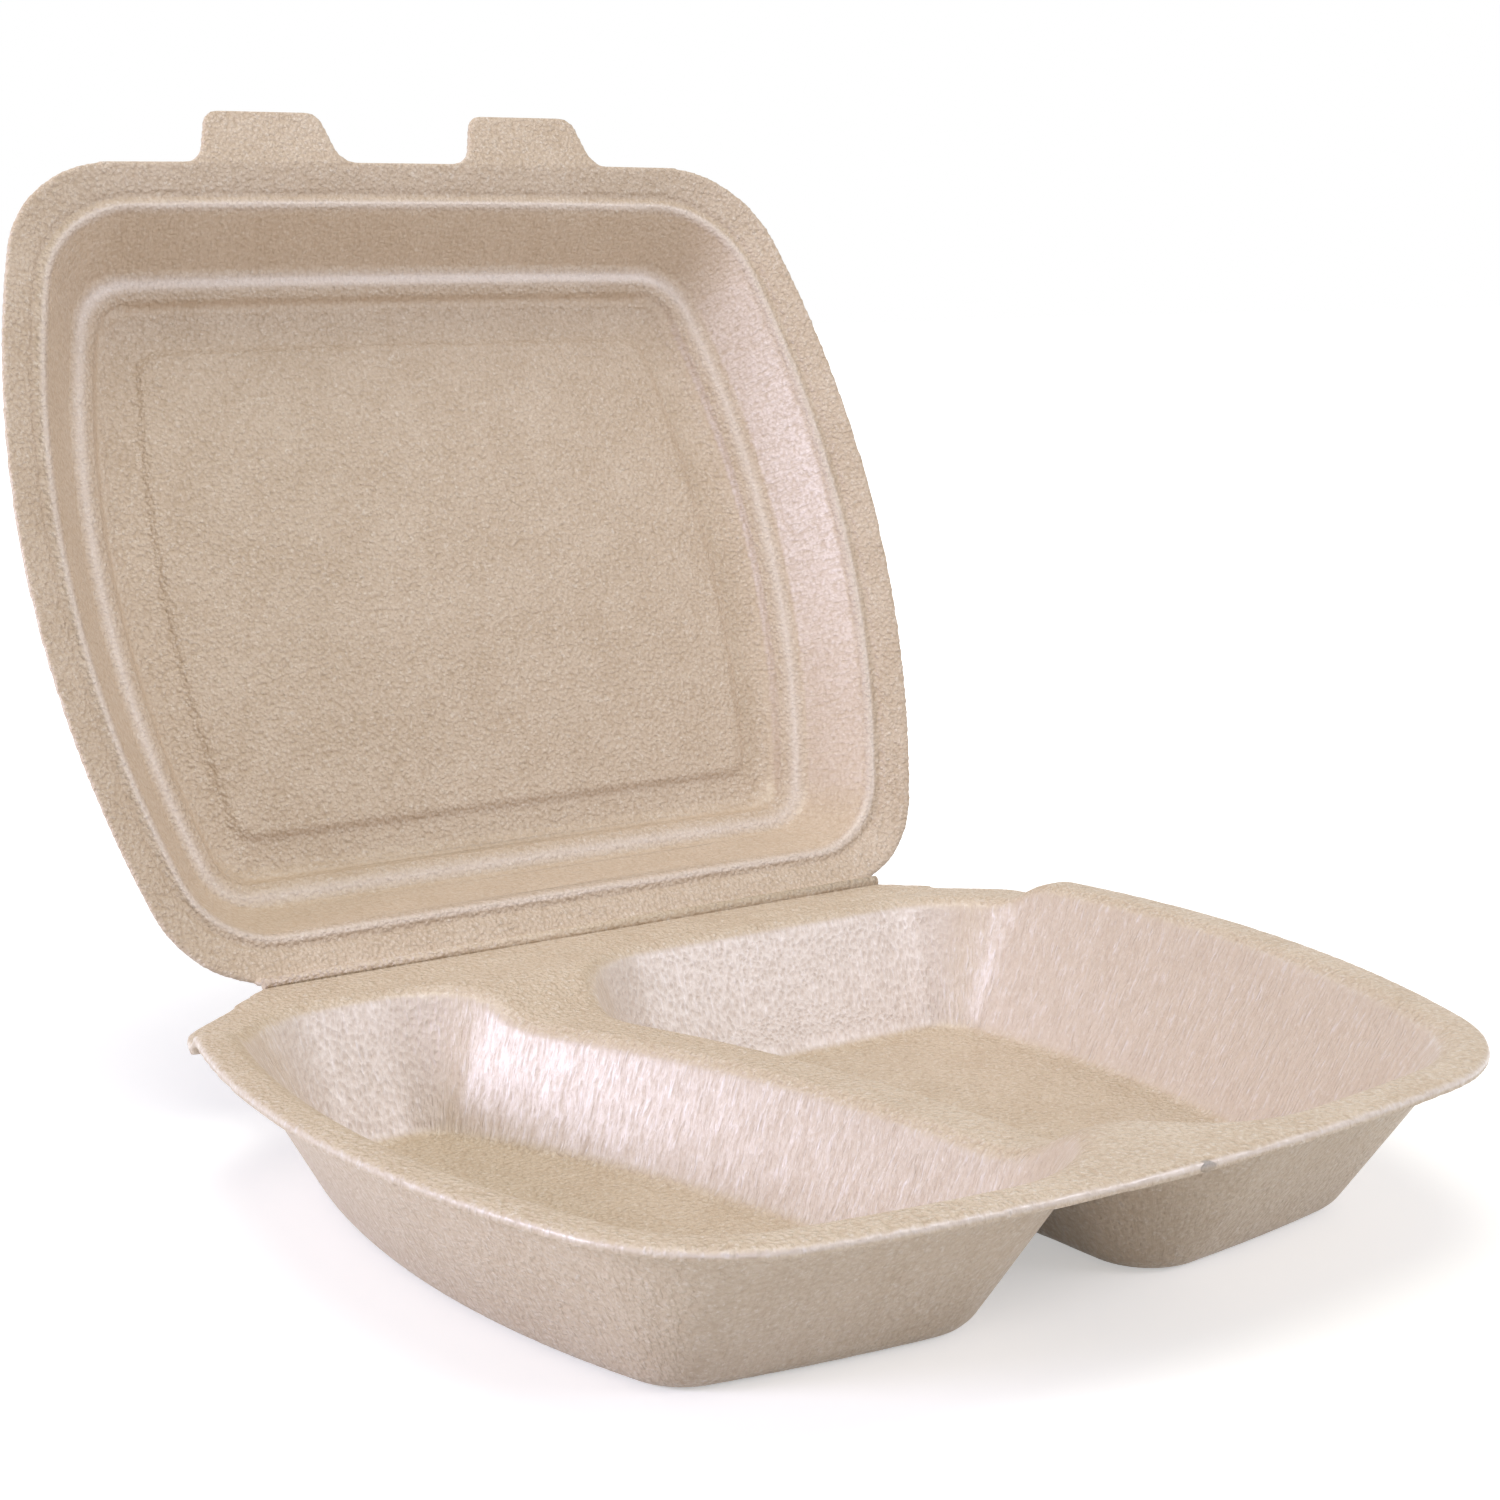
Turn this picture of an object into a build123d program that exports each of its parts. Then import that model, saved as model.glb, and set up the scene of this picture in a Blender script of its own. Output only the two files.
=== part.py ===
from build123d import *
import os
from math import cos, hypot, radians, sin, sqrt, tan

# Hinged foam clamshell with two compartments, standing open on its tray.
# X runs along the hinge, the tray's front faces -Y and Z is up.
# Both halves are drawn with the hinge line on the X axis and the lid closed.
# A place that lies a distance in front of the hinge is at y = -distance.
# The lid is then swung open, and the origin goes to the bottom centre of the whole.

os.makedirs("parts", exist_ok=True)

# Sheet
tray_sheet = 2.6
lid_sheet = 1.6
open_angle = 114.2

# Hinge
hinge_gap = 0.3
hinge_half_length = 85.6
hinge_over_flange = 1.2
hinge_lip_sheet = 1.0
hinge_bead_width = 2.4
closed_clearance = 0.3

# Tray rim
rim_half_width = 121.3
rim_front = 206.5
rim_widest = 86.5
rim_side_radius = 232.0
rim_front_bow = 10.4
rim_front_corner = 44.0
rim_rise = 5.0
ear_front = 22.0
ear_corner = 11.0
ramp_back = 28.0
ramp_front = 42.0
side_flange = 8.5
front_flange = 9.0
hinge_flange = 17.0
hinge_band_width = 9.4
hinge_band_rise = 0.5

# Tray cups
floor_depth = 30.6
side_draft_angle = 28.3
front_draft_angle = 35.2
back_draft_angle = 23.5
floor_corner = 11.0
inner_floor_radius = 3.0
outer_floor_radius = 5.0
floor_bend_facets = 2
plain_wall_height = 20.0
mouth_bevel = 1.8

# Divider between the cups, an arc in plan
divider_radius = 285.0
divider_front_x = 2.6
divider_square_on = 175.0
divider_draft_angle = 25.8
ridge_half_width = 6.6
ridge_drop = 6.0
ridge_back_start = 19.0
ridge_back_end = 44.0
ridge_front_start = 156.0
ridge_front_end = 189.0
ridge_half_reach = 70.0

# Lid rim, set by how it lies over the tray's rim
lid_side_setback = 0.8
lid_front_overhang = 2.3
lid_half_width = rim_half_width - lid_side_setback
lid_front = rim_front + lid_front_overhang
lid_widest = 109.0
lid_side_radius = 285.0
lid_front_bow = 1.0
lid_front_corner = 32.0
lid_back_corner = 29.5
lid_corner_tightening_share = 0.65

# Lid steps, counted inwards from the rim's edge and deep from the rim's plane
rim_lip_width = 0.8
band_width = 8.5
band_depth = 3.0
ledge_width = 3.0
ledge_fall = 0.4
wall_run = 10.0
shoulder_depth = 21.0
shoulder_width = 5.5
shoulder_fall = 0.4
step_run = 3.5
lid_depth = 26.5
step_bend_reach = 1.4
step_bend_facets = 1

# Raised panel in the lid's top
panel_half_width = 80.0
panel_back = 39.0
panel_front = 169.0
panel_widest = 104.0
panel_side_radius = 350.0
panel_front_bow = 0.6
panel_corner = 6.0
panel_rise = 1.2
panel_bevel = 1.4

# Tabs on the lid's front edge
tab_spacing = 75.0
tab_root_width = 39.0
tab_tip_width = 31.0
tab_reach = 14.0
tab_tip_corner = 4.5
tab_root_corner = 5.0

# Length by which a cutter runs past what it cuts
overrun = 6.0

flange_top = -hinge_over_flange
floor_top = flange_top - floor_depth
wall_height = floor_depth + rim_rise
lid_plane = flange_top + rim_rise + closed_clearance


def tangent_slope(angle):
    return tan(radians(angle))


def bowed_plan(half_width, back, front, widest, side_radius, front_bow):
    """Four-sided plan with a straight back, bowed sides and a bowed front."""
    side_centre = half_width - side_radius
    shoulder = front - front_bow
    middle = (back + shoulder) / 2

    def half_at(distance):
        return side_centre + sqrt(side_radius**2 - (distance - widest)**2)

    back_right = (half_at(back), -back)
    front_right = (half_at(shoulder), -shoulder)
    front_left = (-half_at(shoulder), -shoulder)
    back_left = (-half_at(back), -back)
    return make_face([
        Line(back_left, back_right),
        ThreePointArc(back_right, (half_at(middle), -middle), front_right),
        ThreePointArc(front_right, (0, -front), front_left),
        ThreePointArc(front_left, (-half_at(middle), -middle), back_left),
    ])


def round_front(plan, radius):
    return fillet(plan.vertices().sort_by(Axis.Y)[:2], radius)


def round_back(plan, radius):
    return fillet(plan.vertices().sort_by(Axis.Y)[-2:], radius)


def nearest_vertices(plan, places):
    return [min(plan.vertices(), key=lambda v: hypot(v.X - x, v.Y - y)) for x, y in places]


def s_bend(start, end):
    """Two equal arcs that leave and arrive level."""
    middle = ((start[0] + end[0]) / 2, (start[1] + end[1]) / 2)
    heading = (start[0] - end[0], 0)
    first = TangentArc((-start[0], start[1]), (-middle[0], middle[1]), tangent=heading)
    second = TangentArc((-middle[0], middle[1]), (-end[0], end[1]), tangent=first % 1)
    return [first, second]


def across(profile_edges, half_length):
    """Solid drawn in side view and run along the hinge both ways."""
    return extrude(Plane.YZ * make_face(profile_edges), half_length, both=True)


def under_rim(drop, thickness):
    """Everything between the rim's top surface, lowered by drop, and a thickness below it."""
    low = flange_top - drop
    high = low + rim_rise
    back = -overrun
    front = rim_front + overrun
    bottom = low - thickness
    rise = s_bend((ramp_back, low), (ramp_front, high))
    fall = s_bend((ramp_front, high - thickness), (ramp_back, bottom))
    outline = [Line((-back, low), (-ramp_back, low))] + rise
    outline += [Line((-ramp_front, high), (-front, high)), Line((-front, high), (-front, high - thickness))]
    outline += [Line((-front, high - thickness), (-ramp_front, high - thickness))] + fall
    outline += [Line((-ramp_back, bottom), (-back, bottom)), Line((-back, bottom), (-back, low))]
    return across(outline, rim_half_width + overrun)


def tray_rim_plan():
    """Rim with its two cut-back ears beside the hinge."""
    plan = bowed_plan(rim_half_width, hinge_gap, rim_front, rim_widest, rim_side_radius, rim_front_bow)
    plan = round_front(plan, rim_front_corner)
    side_centre = rim_half_width - rim_side_radius
    ear_half = side_centre + sqrt(rim_side_radius**2 - (ear_front - rim_widest)**2)
    for side in (-1, 1):
        outside = side * (ear_half + overrun)
        plan -= make_face(Polyline(
            (side * hinge_half_length, -hinge_gap), (side * ear_half, -ear_front), (outside, -ear_front),
            (outside, overrun), (side * hinge_half_length, overrun), close=True))
    return fillet(nearest_vertices(plan, [(-ear_half, -ear_front), (ear_half, -ear_front)]), ear_corner)


def cup_section(side, height, growth=0.0):
    """Plan of one cup at a height over its floor, grown outwards all round."""
    fall = wall_height - height
    half_width = rim_half_width - side_flange - fall * tangent_slope(side_draft_angle) + growth
    plan = bowed_plan(
        half_width,
        hinge_flange + (floor_depth - height) * tangent_slope(back_draft_angle) - growth,
        rim_front - front_flange - fall * tangent_slope(front_draft_angle) + growth,
        rim_widest,
        rim_side_radius - (rim_half_width - half_width),
        rim_front_bow * half_width / rim_half_width,
    )
    gap = ridge_half_width + (floor_depth - ridge_drop - height) * tangent_slope(divider_draft_angle) - growth
    centre = Pos(divider_front_x - divider_radius, -divider_square_on) * Rot(Z=180)
    if side < 0:
        plan = plan & centre * Circle(divider_radius - gap)
    else:
        plan = plan - centre * Circle(divider_radius + gap)
    plan = fillet(plan.vertices(), floor_corner + height * tangent_slope(side_draft_angle) + growth)
    return Pos(Z=floor_top + height) * plan


def rounded_foot(side, height, radius, growth=0.0):
    """Sections that bend a cup's wall into its floor, from the floor up."""
    full_turn = radians(90 - side_draft_angle)
    sections = []
    for turn in range(floor_bend_facets + 1):
        angle = full_turn * turn / floor_bend_facets
        rise = radius * (1 - cos(angle))
        inset = radius * (tan(full_turn / 2) - sin(angle)) + rise * tangent_slope(side_draft_angle)
        sections.append(cup_section(side, height + rise, growth - inset))
    return sections


def stacked(sections):
    return loft([section.face() for section in sections], ruled=True)


def cup_cavity(side):
    foot = rounded_foot(side, 0, inner_floor_radius)
    return stacked(foot + [cup_section(side, plain_wall_height), cup_section(side, wall_height + overrun)])


def cup_shell(side):
    growth = tray_sheet / cos(radians(side_draft_angle))
    foot = rounded_foot(side, -tray_sheet, outer_floor_radius, growth)
    return stacked(foot + [cup_section(side, plain_wall_height, growth), cup_section(side, wall_height, growth)])


def saddle(drop):
    """Side view of the divider's ridge, low in the middle and level with the flanges at its ends."""
    ridge = flange_top - ridge_drop - drop
    back = flange_top - drop
    front = back + rim_rise
    falling = s_bend((ridge_back_start, back), (ridge_back_end, ridge))
    level = Line((-ridge_back_end, ridge), (-ridge_front_start, ridge))
    rising = s_bend((ridge_front_start, ridge), (ridge_front_end, front))
    return falling + [level] + rising, back, front


def saddle_cutter():
    curve, back, front = saddle(0)
    top = front + overrun
    outline = curve + [
        Line((-ridge_front_end, front), (-ridge_front_end, top)),
        Line((-ridge_front_end, top), (-ridge_back_start, top)),
        Line((-ridge_back_start, top), (-ridge_back_start, back)),
    ]
    return across(outline, ridge_half_reach)


def ridge_cap():
    """The sheet that joins the two cups over the channel between them."""
    upper, back, front = saddle(0)
    lower, low_back, low_front = saddle(tray_sheet)
    outline = upper + lower + [
        Line((-ridge_back_start, back), (-ridge_back_start, low_back)),
        Line((-ridge_front_end, front), (-ridge_front_end, low_front)),
    ]
    return across(outline, ridge_half_reach)


def hinge_band():
    """The slightly raised strip of the back flange along the crease."""
    strip = Pos(Y=-hinge_gap - hinge_band_width / 2) * Rectangle(2 * rim_half_width, hinge_band_width)
    return extrude(Pos(Z=flange_top) * (tray_rim_plan() & strip), hinge_band_rise)


def make_tray():
    rim = under_rim(0, tray_sheet) & extrude(Pos(Z=floor_top) * tray_rim_plan(), wall_height + overrun)
    cups = (cup_shell(-1) + cup_shell(1)) & under_rim(0, wall_height + tray_sheet + overrun)
    solid = rim + cups - saddle_cutter() + ridge_cap()
    cavities = [cup_cavity(-1), cup_cavity(1)]
    tray = solid - cavities[0] - cavities[1]
    tray = chamfer(new_edges(solid, *cavities, combined=tray), mouth_bevel)
    bead = [
        Line((-hinge_gap, flange_top - tray_sheet / 2), (-hinge_gap, -hinge_gap)),
        Line((-hinge_gap, -hinge_gap), (-hinge_gap - hinge_bead_width, flange_top)),
        Line((-hinge_gap - hinge_bead_width, flange_top), (-hinge_gap - hinge_bead_width, flange_top - tray_sheet / 2)),
        Line((-hinge_gap - hinge_bead_width, flange_top - tray_sheet / 2), (-hinge_gap, flange_top - tray_sheet / 2)),
    ]
    return tray + across(bead, hinge_half_length) + hinge_band()


def lid_section(inset, depth):
    corner_loss = lid_corner_tightening_share * inset
    plan = bowed_plan(
        lid_half_width - inset,
        hinge_gap + inset,
        lid_front - inset,
        lid_widest,
        lid_side_radius - inset,
        lid_front_bow,
    )
    plan = round_front(plan, lid_front_corner - corner_loss)
    plan = round_back(plan, lid_back_corner - corner_loss)
    return Pos(Z=lid_plane + depth) * plan


def panel_section(bevel, depth):
    plan = bowed_plan(
        panel_half_width - bevel, panel_back + bevel, panel_front - bevel, panel_widest,
        panel_side_radius - bevel, panel_front_bow)
    plan = round_back(round_front(plan, panel_corner), panel_corner)
    return Pos(Z=lid_plane + depth) * plan


def thickened(steps, sheet):
    """Steps of (inset, depth) moved outwards by the sheet's thickness."""
    normals = []
    for (inset, depth), (next_inset, next_depth) in zip(steps, steps[1:]):
        run, fall = next_inset - inset, next_depth - depth
        length = hypot(run, fall)
        normals.append((-fall / length, run / length))
    moved = []
    for before, step, after in zip(normals, steps[1:], normals[1:] + [(0, 1)]):
        scale = sheet / (1 + before[0] * after[0] + before[1] * after[1])
        moved.append((step[0] + (before[0] + after[0]) * scale, step[1] + (before[1] + after[1]) * scale))
    return moved


def lid_steps():
    ledge_depth = band_depth + ledge_fall
    shoulder_end = shoulder_depth + shoulder_fall
    return [
        (rim_lip_width, 0),
        (band_width, band_depth),
        (band_width + ledge_width, ledge_depth),
        (band_width + ledge_width + wall_run, shoulder_depth),
        (band_width + ledge_width + wall_run + shoulder_width, shoulder_end),
        (band_width + ledge_width + wall_run + shoulder_width + step_run, lid_depth),
    ]


def softened(steps):
    """Steps with each sharp corner replaced by a short bend, the last one into the flat top."""
    last_inset, last_depth = steps[-1]
    path = steps + [(last_inset + 2 * step_bend_reach, last_depth)]
    bent = path[:2]
    for before, corner, after in zip(path[1:], path[2:], path[3:]):
        start = stepped_towards(corner, before)
        end = stepped_towards(corner, after)
        for turn in range(step_bend_facets + 1):
            share = turn / step_bend_facets
            weights = ((1 - share)**2, 2 * share * (1 - share), share**2)
            bent.append(tuple(sum(w * place[i] for w, place in zip(weights, (start, corner, end))) for i in (0, 1)))
    return bent


def stepped_towards(corner, other):
    length = hypot(other[0] - corner[0], other[1] - corner[1])
    return tuple(c + (o - c) * step_bend_reach / length for c, o in zip(corner, other))


def stepped_block(steps):
    return stacked([lid_section(inset, depth) for inset, depth in steps])


def panel_block(base_depth):
    return stacked([panel_section(panel_bevel, base_depth - panel_rise), panel_section(0, base_depth)])


def lid_rim_plan():
    """Lid's edge with its two closing tabs."""
    plan = lid_section(0, 0)
    root = lid_front - overrun
    tip = lid_front + tab_reach
    flare = (tab_root_width - tab_tip_width) / 2 / tab_reach
    inner_half = tab_root_width / 2 + overrun * flare
    roots = []
    for centre in (-tab_spacing / 2, tab_spacing / 2):
        tab = make_face(Polyline(
            (centre - inner_half, -root), (centre - tab_tip_width / 2, -tip),
            (centre + tab_tip_width / 2, -tip), (centre + inner_half, -root), close=True))
        tab = fillet(tab.vertices().sort_by(Axis.Y)[:2], tab_tip_corner)
        plan += Pos(Z=lid_plane) * tab
        roots += [(centre - tab_root_width / 2, -lid_front), (centre + tab_root_width / 2, -lid_front)]
    return fillet(nearest_vertices(plan, roots), tab_root_corner)


def make_lid():
    outside = stepped_block(thickened([(0, 0)] + lid_steps(), lid_sheet))
    inside = stepped_block(softened(lid_steps())) - panel_block(lid_depth)
    lid = outside + extrude(lid_rim_plan(), lid_sheet)
    lid = lid - panel_block(lid_depth + lid_sheet) - inside
    lip = extrude(
        Pos(0, -hinge_gap - hinge_lip_sheet / 2, hinge_gap) * Rectangle(2 * hinge_half_length, hinge_lip_sheet),
        lid_plane + lid_sheet / 2 - hinge_gap)
    return lid + lip


tray = make_tray()
lid = Rot(X=-open_angle) * make_lid()

whole = Compound([tray, lid]).bounding_box()
to_bottom_centre = Pos(-whole.center().X, -whole.center().Y, -whole.min.Z)
hinge_place = to_bottom_centre.position

export_step(to_bottom_centre * tray, "parts/base_tray.step")
export_step(to_bottom_centre * lid, "parts/lid.step")
print("hinge line at", hinge_place)
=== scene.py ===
import bpy
import bmesh
import numpy
from math import pi, radians
from mathutils import Matrix, Vector


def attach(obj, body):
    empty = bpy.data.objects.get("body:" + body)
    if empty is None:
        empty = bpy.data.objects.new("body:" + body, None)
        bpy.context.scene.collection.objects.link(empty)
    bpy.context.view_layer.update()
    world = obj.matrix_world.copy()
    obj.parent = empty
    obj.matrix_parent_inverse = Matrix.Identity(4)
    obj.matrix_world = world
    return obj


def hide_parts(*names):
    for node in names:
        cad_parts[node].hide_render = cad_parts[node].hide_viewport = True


# Foam clamshell food container, standing open on its tray.
# X runs along the hinge, the tray's front faces -Y and Z is up, in metres.

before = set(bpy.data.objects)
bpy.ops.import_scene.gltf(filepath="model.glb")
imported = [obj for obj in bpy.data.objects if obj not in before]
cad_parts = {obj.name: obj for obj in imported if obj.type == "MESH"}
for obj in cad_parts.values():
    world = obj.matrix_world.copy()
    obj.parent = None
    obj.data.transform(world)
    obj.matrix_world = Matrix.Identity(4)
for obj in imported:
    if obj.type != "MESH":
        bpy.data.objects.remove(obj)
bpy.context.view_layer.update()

hinge = Vector((0, 0.051848, 0.0344))
hinge_half_length = 0.0856
hinge_margin = 0.005
fold_radius = 0.0014
open_angle = radians(114.2)
tray_cut_height = 0.019
lid_rim_offset = 0.0041
lid_cut_depth = 0.012
triangle_budget = 190000

# Lines pressed round the lid: distance inside the wall's outline, half width, both in mm, and share of depth
lid_lines = ((-8.4, 1.5, -0.6), (-5.8, 1.8, 0.8), (7.2, 3.2, 0.8), (12.4, 1.7, -0.8))
lid_line_depth = 0.0005

# Axes of each half as it lies flat: along the hinge, away from it, and out of the food side
tray_axes = Matrix(((1, 0, 0), (0, -1, 0), (0, 0, 1)))
lid_axes = tray_axes @ Matrix.Diagonal((1, 1, -1)) @ Matrix.Rotation(open_angle, 3, "X")


def merged_copy(node_name, piece_name):
    """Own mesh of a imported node, with its loose triangles joined."""
    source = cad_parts[node_name]
    mesh = bpy.data.meshes.new(piece_name)
    foam = bmesh.new()
    foam.from_mesh(source.data)
    bmesh.ops.remove_doubles(foam, verts=foam.verts, dist=1e-5)
    foam.to_mesh(mesh)
    foam.free()
    piece = bpy.data.objects.new(piece_name, mesh)
    bpy.context.scene.collection.objects.link(piece)
    return piece


def outlines_at(piece, axes, height):
    """Closed outlines, in the half's own plan, where a level plane cuts its walls."""
    foam = bmesh.new()
    foam.from_mesh(piece.data)
    level = axes[2]
    cut = bmesh.ops.bisect_plane(
        foam, geom=foam.verts[:] + foam.edges[:] + foam.faces[:], dist=1e-7,
        plane_co=hinge + height * level, plane_no=level)
    edges = {part for part in cut["geom_cut"] if isinstance(part, bmesh.types.BMEdge)}
    outlines = []
    while edges:
        edge = edges.pop()
        first, corner = edge.verts
        outline = [first.co]
        while corner is not first:
            outline.append(corner.co)
            edge = next((e for e in corner.link_edges if e in edges), None)
            if edge is None:
                break
            edges.remove(edge)
            corner = edge.other_vert(corner)
        outlines.append(numpy.array([(axes @ (place - hinge))[:2] for place in outline]))
    foam.free()
    return outlines


def length_of(outline):
    """Length round a closed outline."""
    return numpy.linalg.norm(numpy.roll(outline, -1, 0) - outline, axis=1).sum()


def corners_cut(outline, rounds):
    """Finer, softer copy of a closed outline."""
    for turn in range(rounds):
        following = numpy.roll(outline, -1, 0)
        pairs = numpy.stack((0.75 * outline + 0.25 * following, 0.25 * outline + 0.75 * following), 1)
        outline = pairs.reshape(-1, 2)
    return outline


def cup_outlines(outlines):
    """The inner skin's outline of each cup, which is the shorter of its two."""
    sides = {}
    for outline in sorted(outlines, key=length_of, reverse=True):
        centre = (outline[:, 0].min() + outline[:, 0].max()) / 2
        sides[round(centre * 20)] = outline
    return [corners_cut(outline, 2) for outline in sides.values()]


def even_skin(piece, voxel, rounds):
    """Even, softly rounded skin over the same form, thinned to the budget of triangles.

    Only the first round of smoothing reaches the skin beside the hinge, so the fold stays tight.
    """
    remesh = piece.modifiers.new("even skin", "REMESH")
    remesh.mode = "VOXEL"
    remesh.voxel_size = voxel
    graph = bpy.context.evaluated_depsgraph_get()
    skin = bpy.data.meshes.new_from_object(piece.evaluated_get(graph))
    piece.modifiers.clear()
    foam = bmesh.new()
    foam.from_mesh(skin)
    open_skin = [v for v in foam.verts if (v.co - hinge).yz.length > hinge_margin]
    for turn in range(rounds):
        verts = foam.verts if turn == 0 else open_skin
        bmesh.ops.smooth_vert(
            foam, verts=verts, factor=0.5, use_axis_x=True, use_axis_y=True, use_axis_z=True)
    for face in foam.faces:
        face.smooth = True
    triangles = 2 * len(foam.faces)
    foam.to_mesh(piece.data)
    foam.free()
    if triangles > triangle_budget:
        thin = piece.modifiers.new("thin", "DECIMATE")
        thin.ratio = triangle_budget / triangles
        graph = bpy.context.evaluated_depsgraph_get()
        thinned = bpy.data.meshes.new_from_object(piece.evaluated_get(graph))
        piece.modifiers.clear()
        name = piece.data.name
        piece.data = thinned
        piece.data.name = name


def eased(value, low, high):
    """Smooth step from 0 at low to 1 at high."""
    share = numpy.clip((value - low) / (high - low), 0, 1)
    return share * share * (3 - 2 * share)


def mark_walls(piece, axes, outlines, line_depth):
    """Store how far round the wall, how far inside its outline and how steep the skin is at each vertex.

    The way round the wall is wrapped on a circle of the same length, so it has no seam.
    The lid's pressed lines are raised and sunk here too, by line_depth.
    """
    mesh = piece.data
    count = len(mesh.vertices)
    places = numpy.empty(3 * count)
    mesh.vertices.foreach_get("co", places)
    normals = numpy.empty(3 * count)
    mesh.vertex_normals.foreach_get("vector", normals)
    turn = numpy.array(axes)
    places = (places.reshape(-1, 3) - numpy.array(hinge)) @ turn.T
    normals = normals.reshape(-1, 3) @ turn.T
    plan = places[:, :2]
    nearest = numpy.full(count, numpy.inf)
    inset = numpy.zeros(count)
    wrapped = numpy.zeros((count, 3))
    for outline in outlines:
        whole = length_of(outline)
        following = numpy.roll(outline, -1, 0)
        turning = numpy.sign((outline[:, 0] * following[:, 1] - outline[:, 1] * following[:, 0]).sum())
        travelled = 0.0
        for start, end in zip(outline, following):
            step = end - start
            length = numpy.linalg.norm(step)
            share = numpy.clip(((plan - start) @ step) / length**2, 0, 1)
            gap = numpy.linalg.norm(plan - start - share[:, None] * step, axis=1)
            nearer = gap < nearest
            nearest[nearer] = gap[nearer]
            inside = turning * (step[0] * (plan[:, 1] - start[1]) - step[1] * (plan[:, 0] - start[0]))
            inset[nearer] = 1000 * (gap * numpy.sign(inside))[nearer]
            angle = 2 * pi * (travelled + share[nearer] * length) / whole
            wrapped[nearer, 0] = numpy.cos(angle) * whole / (2 * pi)
            wrapped[nearer, 1] = numpy.sin(angle) * whole / (2 * pi)
            travelled += length
    wrapped[:, 2] = places[:, 2]
    steep = eased(1 - numpy.abs(normals[:, 2]), 0.12, 0.42)
    food_side = eased(normals[:, 2], -0.1, 0.25)
    if line_depth:
        lift = numpy.zeros(count)
        for middle, half_width, height in lid_lines:
            lift += height * eased(numpy.abs(inset - middle), half_width, 0.0)
        moved = places + (line_depth * lift * food_side)[:, None] * normals
        mesh.vertices.foreach_set("co", (moved @ turn + numpy.array(hinge)).ravel())
        mesh.update()
    facing_front = eased(normals[:, 1], 0.6, 0.85) * steep * food_side
    run = mesh.attributes.new("wall_run", "FLOAT_VECTOR", "POINT")
    run.data.foreach_set("vector", wrapped.ravel())
    for name, values in (
            ("wall_share", steep), ("food_side_share", food_side),
            ("front_facing_share", facing_front), ("inset_mm", inset)):
        mesh.attributes.new(name, "FLOAT", "POINT").data.foreach_set("value", values)


def group_with(name, inputs, outputs):
    group = bpy.data.node_groups.new(name, "ShaderNodeTree")
    for socket_name, kind, value in inputs:
        socket = group.interface.new_socket(socket_name, in_out="INPUT", socket_type=kind)
        if value is not None:
            socket.default_value = value
    for socket_name, kind in outputs:
        group.interface.new_socket(socket_name, in_out="OUTPUT", socket_type=kind)
    return group, group.nodes.new("NodeGroupInput"), group.nodes.new("NodeGroupOutput")


def noise(tree, place, scale, detail=2.0, roughness=0.5):
    node = tree.nodes.new("ShaderNodeTexNoise")
    node.inputs["Detail"].default_value = detail
    node.inputs["Roughness"].default_value = roughness
    tree.links.new(place, node.inputs["Vector"])
    set_or_link(tree, node.inputs["Scale"], scale)
    return node


def cells(tree, place, scale):
    node = tree.nodes.new("ShaderNodeTexVoronoi")
    tree.links.new(place, node.inputs["Vector"])
    set_or_link(tree, node.inputs["Scale"], scale)
    return node


def set_or_link(tree, socket, value):
    if isinstance(value, bpy.types.NodeSocket):
        tree.links.new(value, socket)
    else:
        socket.default_value = value


def worked(tree, operation, first, second):
    node = tree.nodes.new("ShaderNodeMath")
    node.operation = operation
    set_or_link(tree, node.inputs[0], first)
    set_or_link(tree, node.inputs[1], second)
    return node.outputs[0]


def eased_range(tree, value, low, high, start=0.0, end=1.0):
    node = tree.nodes.new("ShaderNodeMapRange")
    node.interpolation_type = "SMOOTHSTEP"
    tree.links.new(value, node.inputs["Value"])
    node.inputs["From Min"].default_value = low
    node.inputs["From Max"].default_value = high
    node.inputs["To Min"].default_value = start
    node.inputs["To Max"].default_value = end
    return node.outputs["Result"]


def blended(tree, share, first, second):
    node = tree.nodes.new("ShaderNodeMix")
    node.data_type = "FLOAT"
    set_or_link(tree, node.inputs["Factor"], share)
    set_or_link(tree, node.inputs["A"], first)
    set_or_link(tree, node.inputs["B"], second)
    return node.outputs["Result"]


def tinted(tree, share, first, second):
    node = tree.nodes.new("ShaderNodeMix")
    node.data_type = "RGBA"
    set_or_link(tree, node.inputs["Factor"], share)
    colours = [socket for socket in node.inputs if socket.type == "RGBA"]
    for socket, value in zip(colours, (first, second)):
        set_or_link(tree, socket, value if isinstance(value, bpy.types.NodeSocket) else (*value, 1))
    return next(socket for socket in node.outputs if socket.type == "RGBA")


def stretched(tree, place, scales):
    node = tree.nodes.new("ShaderNodeMapping")
    node.vector_type = "POINT"
    node.inputs["Scale"].default_value = scales
    tree.links.new(place, node.inputs["Vector"])
    return node.outputs["Vector"]


def jogged(tree, place, scale, reach):
    """Place moved a little by a slow noise, so that lines waver."""
    wander = noise(tree, place, scale, 1.0)
    centred = tree.nodes.new("ShaderNodeVectorMath")
    centred.operation = "SUBTRACT"
    tree.links.new(wander.outputs["Color"], centred.inputs[0])
    centred.inputs[1].default_value = (0.5, 0.5, 0.5)
    moved = tree.nodes.new("ShaderNodeVectorMath")
    moved.operation = "MULTIPLY_ADD"
    tree.links.new(centred.outputs[0], moved.inputs[0])
    moved.inputs[1].default_value = (reach, reach, reach)
    tree.links.new(place, moved.inputs[2])
    return moved.outputs[0]


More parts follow.
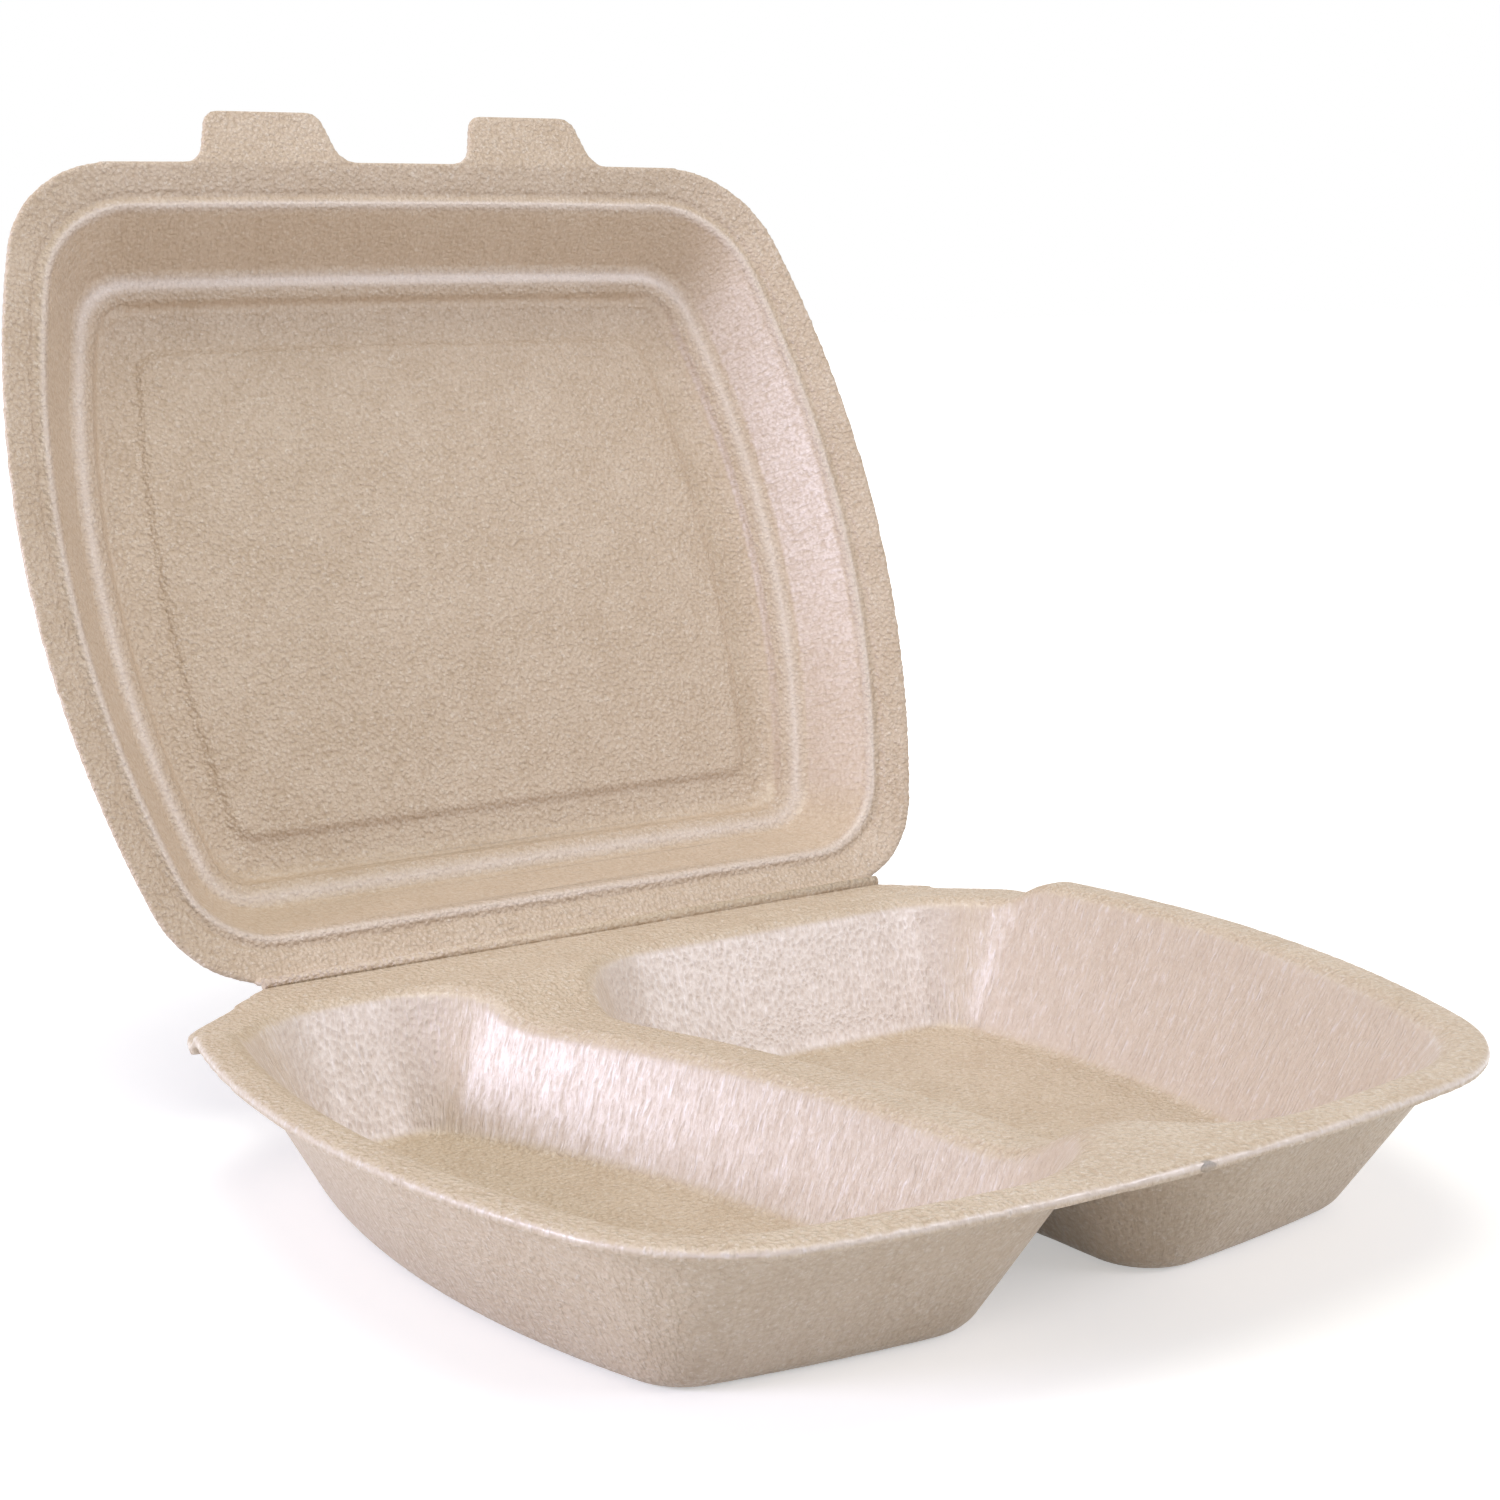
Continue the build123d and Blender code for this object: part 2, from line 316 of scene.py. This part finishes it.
def make_foam_cells():
    """Crinkled skin over small closed cells."""
    group, given, made = group_with(
        "foam cells",
        [("Vector", "NodeSocketVector", None), ("Scale", "NodeSocketFloat", 700.0)],
        [("Height", "NodeSocketFloat"), ("Tone", "NodeSocketFloat")])
    place = given.outputs["Vector"]
    scale = given.outputs["Scale"]
    crinkle = noise(group, place, scale, 2.0, 0.65)
    bubbles = cells(group, place, worked(group, "MULTIPLY", scale, 1.15))
    bubble_top = worked(group, "SUBTRACT", 0.8, bubbles.outputs["Distance"])
    height = blended(group, 0.4, crinkle.outputs["Fac"], bubble_top)
    blotch = noise(group, place, worked(group, "MULTIPLY", scale, 0.08), 2.0, 0.6)
    tone = blended(group, 0.7, blotch.outputs["Fac"], height)
    group.links.new(height, made.inputs["Height"])
    group.links.new(tone, made.inputs["Tone"])
    return group


def make_wall_streaks():
    """Skin drawn out in short threads down a wall."""
    group, given, made = group_with(
        "wall streaks",
        [("Vector", "NodeSocketVector", None), ("Scale", "NodeSocketFloat", 1300.0)],
        [("Height", "NodeSocketFloat"), ("Tone", "NodeSocketFloat")])
    place = jogged(group, given.outputs["Vector"], 160.0, 0.0014)
    drawn = stretched(group, place, (1, 1, 0.2))
    scale = given.outputs["Scale"]
    threads = noise(group, drawn, scale, 2.0, 0.6)
    bundles = noise(group, drawn, worked(group, "MULTIPLY", scale, 0.35), 1.0, 0.5)
    height = blended(group, 0.2, threads.outputs["Fac"], bundles.outputs["Fac"])
    tone = blended(group, 0.4, threads.outputs["Fac"], bundles.outputs["Fac"])
    group.links.new(height, made.inputs["Height"])
    group.links.new(tone, made.inputs["Tone"])
    return group


def make_cracked_cells():
    """Larger flattened cells with thin creases between them; the Crack output marks the creases for painted
    shade.
    """
    group, given, made = group_with(
        "cracked cells",
        [("Vector", "NodeSocketVector", None), ("Scale", "NodeSocketFloat", 520.0)],
        [("Height", "NodeSocketFloat"), ("Crack", "NodeSocketFloat")])
    drawn = stretched(group, given.outputs["Vector"], (1, 1, 0.6))
    scale = given.outputs["Scale"]
    facets = cells(group, drawn, scale)
    folds = noise(group, drawn, worked(group, "MULTIPLY", scale, 1.1), 2.0, 0.6)
    height = blended(group, 0.5, folds.outputs["Fac"], facets.outputs["Distance"])
    ridge = worked(group, "ABSOLUTE", worked(group, "SUBTRACT", folds.outputs["Fac"], 0.5), 0.0)
    crack = eased_range(group, ridge, 0.02, 0.0)
    group.links.new(height, made.inputs["Height"])
    group.links.new(crack, made.inputs["Crack"])
    return group


def make_flecks():
    """Sparse darker and paler grains; the paler ones also stand in for small painted glints."""
    group, given, made = group_with(
        "foam flecks",
        [("Vector", "NodeSocketVector", None), ("Scale", "NodeSocketFloat", 900.0)],
        [("Dark", "NodeSocketFloat"), ("Pale", "NodeSocketFloat")])
    place = given.outputs["Vector"]
    scale = given.outputs["Scale"]
    grains = noise(group, place, scale, 2.0, 0.7)
    patches = noise(group, place, worked(group, "MULTIPLY", scale, 0.16), 1.0)
    dark = eased_range(group, grains.outputs["Fac"], 0.56, 0.70)
    dark = worked(group, "MULTIPLY", dark, eased_range(group, patches.outputs["Fac"], 0.35, 0.62, 0.3, 1.0))
    pale = eased_range(group, grains.outputs["Fac"], 0.43, 0.30)
    group.links.new(dark, made.inputs["Dark"])
    group.links.new(pale, made.inputs["Pale"])
    return group


def make_pressed_lines():
    """Groove and beads pressed round the lid, placed by the distance inside its wall's outline."""
    group, given, made = group_with(
        "pressed lines",
        [("Inset", "NodeSocketFloat", 0.0), ("Share", "NodeSocketFloat", 1.0)],
        [("Height", "NodeSocketFloat"), ("Shade", "NodeSocketFloat"), ("Pearl", "NodeSocketFloat")])
    inset = given.outputs["Inset"]

    def line_at(middle, half_width):
        off = worked(group, "ABSOLUTE", worked(group, "SUBTRACT", inset, middle), 0.0)
        return worked(group, "MULTIPLY", eased_range(group, off, half_width, 0.0), given.outputs["Share"])

    groove, bead, shoulder, valley = (
        worked(group, "MULTIPLY", line_at(middle, half_width), abs(height))
        for middle, half_width, height in lid_lines)
    raised = worked(group, "ADD", bead, shoulder)
    sunk = worked(group, "ADD", groove, valley)
    difference = worked(group, "SUBTRACT", raised, sunk)
    group.links.new(worked(group, "MULTIPLY", difference, 0.35), made.inputs["Height"])
    # Shade: the sunk lines, which the material darkens with painted shade.
    group.links.new(sunk, made.inputs["Shade"])
    # Pearl: the raised bead and shoulder, which the material gives a coat and a painted highlight.
    group.links.new(raised, made.inputs["Pearl"])
    return group


foam_cells = make_foam_cells()
wall_streaks = make_wall_streaks()
cracked_cells = make_cracked_cells()
foam_flecks = make_flecks()
pressed_lines = make_pressed_lines()


def placed(tree, group, place, scale):
    node = tree.nodes.new("ShaderNodeGroup")
    node.node_tree = group
    tree.links.new(place, node.inputs["Vector"])
    node.inputs["Scale"].default_value = scale
    return node


def stored(tree, name):
    node = tree.nodes.new("ShaderNodeAttribute")
    node.attribute_name = name
    return node


dark_fleck = (0.44, 0.31, 0.21)
# Paler grains of the foam, which also serve as small painted glints.
pale_grain_glint_painted = (0.80, 0.72, 0.64)
# Painted shade for the sunk groove and valley round the lid.
groove_shade_painted = (0.47, 0.35, 0.25)
# Painted highlight, pale lilac, for the raised bead and shoulder round the lid.
bead_highlight_painted = (0.72, 0.62, 0.57)
# Painted shade in the creases between the flattened cells.
crease_shade_painted = (0.42, 0.31, 0.23)
# Painted sheen, pale lilac, on inner walls that face the front.
front_wall_sheen_painted = (0.69, 0.61, 0.60)
# Painted glint, near white, on the raised threads of drawn walls.
thread_glint_painted = (0.86, 0.80, 0.83)


def foam_material(name, low, middle, high, drawn, crack_share, line_share, thread_share, glint_share):
    """Pearly beige foam: crinkled on the flats and drawn out in threads on the walls, with painted shade and
    painted highlights in its colour.
    """
    material = bpy.data.materials.new(name)
    material.use_nodes = True
    tree = material.node_tree
    shader = tree.nodes["Principled BSDF"]
    place = tree.nodes.new("ShaderNodeTexCoord").outputs["Object"]
    run = stored(tree, "wall_run").outputs["Vector"]
    steep = stored(tree, "wall_share").outputs["Fac"]
    food_side = stored(tree, "food_side_share").outputs["Fac"]
    drawn_skin = worked(tree, "MULTIPLY", steep, food_side)
    wall = worked(tree, "MULTIPLY", steep, eased_range(tree, food_side, 0.0, 1.0, 0.4, thread_share))
    pressed = tree.nodes.new("ShaderNodeGroup")
    pressed.node_tree = pressed_lines
    tree.links.new(stored(tree, "inset_mm").outputs["Fac"], pressed.inputs["Inset"])
    tree.links.new(worked(tree, "MULTIPLY", food_side, line_share), pressed.inputs["Share"])
    front = worked(tree, "MULTIPLY", stored(tree, "front_facing_share").outputs["Fac"], crack_share)
    cell = placed(tree, foam_cells, place, 850.0)
    streak = placed(tree, wall_streaks, run, 1300.0)
    cracked = placed(tree, cracked_cells, run, 950.0)
    fleck = placed(tree, foam_flecks, place, 900.0)

    height = blended(tree, wall, cell.outputs["Height"], streak.outputs["Height"])
    height = blended(tree, front, height, cracked.outputs["Height"])
    pearl = worked(tree, "MULTIPLY", drawn_skin, eased_range(tree, height, 0.32, 0.62, 0.35, 1.0))
    pearl = worked(tree, "MAXIMUM", pearl, worked(tree, "MULTIPLY", pressed.outputs["Pearl"], 0.9))
    tree.links.new(pearl, shader.inputs["Coat Weight"])
    tone = blended(tree, worked(tree, "MULTIPLY", wall, 0.7), cell.outputs["Tone"], streak.outputs["Tone"])
    ramp = tree.nodes.new("ShaderNodeValToRGB")
    tree.links.new(tone, ramp.inputs["Fac"])
    ramp.color_ramp.elements[0].position = 0.30
    ramp.color_ramp.elements[0].color = (*low, 1)
    ramp.color_ramp.elements[1].position = 0.72
    ramp.color_ramp.elements[1].color = (*high, 1)
    ramp.color_ramp.elements.new(0.50).color = (*middle, 1)
    colour = ramp.outputs["Color"]
    colour = tinted(tree, worked(tree, "MULTIPLY", fleck.outputs["Dark"], 0.35), colour, dark_fleck)
    # Pale flecks: paler grains that also serve as small painted glints.
    colour = tinted(tree, worked(tree, "MULTIPLY", fleck.outputs["Pale"], 0.45), colour, pale_grain_glint_painted)
    # Painted shade darkens the colour in the lid's pressed groove and valley.
    colour = tinted(tree, worked(tree, "MULTIPLY", pressed.outputs["Shade"], 0.35), colour, groove_shade_painted)
    # Painted highlight lightens the colour on the lid's raised bead and shoulder; the same mask also gives
    # them a real coat.
    colour = tinted(tree, worked(tree, "MULTIPLY", pressed.outputs["Pearl"], 0.5), colour, bead_highlight_painted)
    # Painted shade darkens the creases between the cracked cells on walls facing the front.
    crack = worked(tree, "MULTIPLY", cracked.outputs["Crack"], front)
    colour = tinted(tree, worked(tree, "MULTIPLY", crack, 0.3), colour, crease_shade_painted)
    # Inner walls take the drawn tint: on the tray a paler lilac, partly whitened stretched skin and partly
    # painted sheen; on the lid a browner painted shade.
    colour = tinted(tree, worked(tree, "MULTIPLY", drawn_skin, 0.25), colour, drawn)
    # Painted sheen lightens the inner walls that face the front, on the tray.
    colour = tinted(tree, worked(tree, "MULTIPLY", front, 0.45), colour, front_wall_sheen_painted)
    # Painted glints: the highest threads on the inner walls are lightened in colour.
    glint = worked(tree, "MULTIPLY", eased_range(tree, streak.outputs["Height"], 0.56, 0.68), drawn_skin)
    colour = tinted(tree, worked(tree, "MULTIPLY", glint, glint_share), colour, thread_glint_painted)
    tree.links.new(colour, shader.inputs["Base Color"])

    polish = eased_range(tree, height, 0.35, 0.65, 0.48, 0.30)
    tree.links.new(polish, shader.inputs["Roughness"])
    shader.inputs["Specular IOR Level"].default_value = 0.5
    shader.inputs["Coat Roughness"].default_value = 0.37
    shader.inputs["Coat IOR"].default_value = 1.75
    bump = tree.nodes.new("ShaderNodeBump")
    bump.inputs["Strength"].default_value = 1.0
    bump.inputs["Distance"].default_value = 0.00095
    tree.links.new(worked(tree, "ADD", height, pressed.outputs["Height"]), bump.inputs["Height"])
    tree.links.new(bump.outputs["Normal"], shader.inputs["Normal"])
    return material


# Tray walls' drawn tint: paler stretched skin with painted sheen.
tray_foam = foam_material(
    "tray foam", low=(0.54, 0.42, 0.30), middle=(0.63, 0.515, 0.39), high=(0.71, 0.60, 0.49),
    drawn=(0.68, 0.58, 0.54), crack_share=0.8, line_share=0.0, thread_share=0.85, glint_share=0.32)
# Lid walls' drawn tint: brown painted shade.
lid_foam = foam_material(
    "lid foam", low=(0.52, 0.40, 0.29), middle=(0.61, 0.49, 0.38), high=(0.69, 0.58, 0.47),
    drawn=(0.58, 0.43, 0.28), crack_share=0.0, line_share=1.0, thread_share=0.4, glint_share=0.0)


def foam_shell(node, piece_name, axes, cut_height, voxel, line_depth, material):
    """Soft skin over one half of the container, marked for its walls."""
    shell = merged_copy(node, piece_name)
    outlines = cup_outlines(outlines_at(shell, axes, cut_height))
    even_skin(shell, voxel, rounds=4)
    mark_walls(shell, axes, outlines, line_depth)
    shell.data.materials.append(material)
    return shell


tray_shell = foam_shell(
    "base_tray", "tray_shell", tray_axes, cut_height=tray_cut_height - hinge.z,
    voxel=0.0008, line_depth=0, material=tray_foam)
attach(tray_shell, "tray_body")
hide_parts("base_tray")

lid_shell = foam_shell(
    "lid", "lid_shell", lid_axes, cut_height=-lid_rim_offset - lid_cut_depth,
    voxel=0.00065, line_depth=lid_line_depth, material=lid_foam)
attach(lid_shell, "lid_body")
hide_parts("lid")


def hinge_fold():
    """Folded foam that closes the gap along the hinge line."""
    mesh = bpy.data.meshes.new("hinge_fold")
    foam = bmesh.new()
    lie = Matrix.Translation(hinge) @ Matrix.Rotation(radians(90), 4, "Y")
    bmesh.ops.create_cone(
        foam, cap_ends=True, segments=12, radius1=fold_radius, radius2=fold_radius,
        depth=2 * hinge_half_length, matrix=lie)
    for face in foam.faces:
        face.smooth = len(face.verts) == 4
    foam.to_mesh(mesh)
    foam.free()
    fold = bpy.data.objects.new("hinge_fold", mesh)
    bpy.context.scene.collection.objects.link(fold)
    mesh.materials.append(tray_foam)
    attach(fold, "tray_body")


hinge_fold()


def white_floor():
    """Pale studio floor that keeps the shadow near the container and fades to white."""
    mesh = bpy.data.meshes.new("studio_floor")
    sheet = bmesh.new()
    bmesh.ops.create_grid(sheet, x_segments=1, y_segments=1, size=40)
    sheet.to_mesh(mesh)
    sheet.free()
    floor = bpy.data.objects.new("studio_floor", mesh)
    bpy.context.scene.collection.objects.link(floor)
    material = bpy.data.materials.new("floor white")
    material.use_nodes = True
    tree = material.node_tree
    shader = tree.nodes["Principled BSDF"]
    shader.inputs["Base Color"].default_value = (0.80, 0.80, 0.80, 1)
    shader.inputs["Roughness"].default_value = 0.9
    shader.inputs["Specular IOR Level"].default_value = 0.0
    shader.inputs["Emission Color"].default_value = (1, 1, 1, 1)
    path = tree.nodes.new("ShaderNodeLightPath")
    seen = worked(tree, "MAXIMUM", path.outputs["Is Camera Ray"], path.outputs["Is Glossy Ray"])
    seen = worked(tree, "MAXIMUM", seen, path.outputs["Is Transmission Ray"])
    place = tree.nodes.new("ShaderNodeTexCoord").outputs["Object"]
    reach = tree.nodes.new("ShaderNodeVectorMath")
    reach.operation = "LENGTH"
    tree.links.new(place, reach.inputs[0])
    glow = eased_range(tree, reach.outputs["Value"], 0.16, 0.45, 0.42, 1.0)
    tree.links.new(worked(tree, "MULTIPLY", seen, glow), shader.inputs["Emission Strength"])
    mesh.materials.append(material)


def plain_world():
    """Even pale light that looks white to the camera and in reflections."""
    world = bpy.data.worlds.new("studio")
    bpy.context.scene.world = world
    world.use_nodes = True
    tree = world.node_tree
    back = tree.nodes["Background"]
    path = tree.nodes.new("ShaderNodeLightPath")
    seen = worked(tree, "MAXIMUM", path.outputs["Is Camera Ray"], path.outputs["Is Transmission Ray"])
    seen = worked(tree, "MAXIMUM", seen, path.outputs["Is Glossy Ray"])
    tree.links.new(blended(tree, seen, 0.42, 1.0), back.inputs["Strength"])
    back.inputs["Color"].default_value = (1, 1, 1, 1)


def soft_lamp(name, place, target, size, power, colour):
    light = bpy.data.lights.new(name, "AREA")
    light.shape = "DISK"
    light.size = size
    light.energy = power
    light.color = colour
    lamp = bpy.data.objects.new(name, light)
    lamp.location = place
    lamp.rotation_euler = (Vector(target) - Vector(place)).to_track_quat("-Z", "Y").to_euler()
    bpy.context.scene.collection.objects.link(lamp)


def photo_camera():
    data = bpy.data.cameras.new("photo camera")
    camera = bpy.data.objects.new("photo camera", data)
    bpy.context.scene.collection.objects.link(camera)
    bpy.context.scene.camera = camera
    data.sensor_width = 36
    data.lens = 56.37
    data.shift_x = 0.1
    data.shift_y = -0.01
    data.clip_start = 0.01
    right = Vector((0.867464, -0.496904, -0.024331))
    up = Vector((0.107057, 0.138685, 0.984533))
    back = Vector((-0.485844, -0.856652, 0.173501))
    turn = Matrix((right, up, back)).transposed()
    camera.matrix_world = Matrix.Translation((-0.27195, -0.434289, 0.18059)) @ turn.to_4x4()


white_floor()
plain_world()
soft_lamp("left window", (-1.2, 0.1, 0.50), (0, 0, 0.08), 0.4, 8.3, (0.93, 0.93, 1.2))
soft_lamp("overhead softbox", (-0.1, -0.1, 1.4), (0, 0, 0.08), 1.0, 7.5, (1.02, 1.0, 0.88))
soft_lamp("front softbox", (0.75, -1.15, 0.85), (0, 0, 0.08), 0.6, 7.4, (0.96, 0.96, 1.06))
photo_camera()
bpy.context.scene.view_settings.view_transform = "Standard"
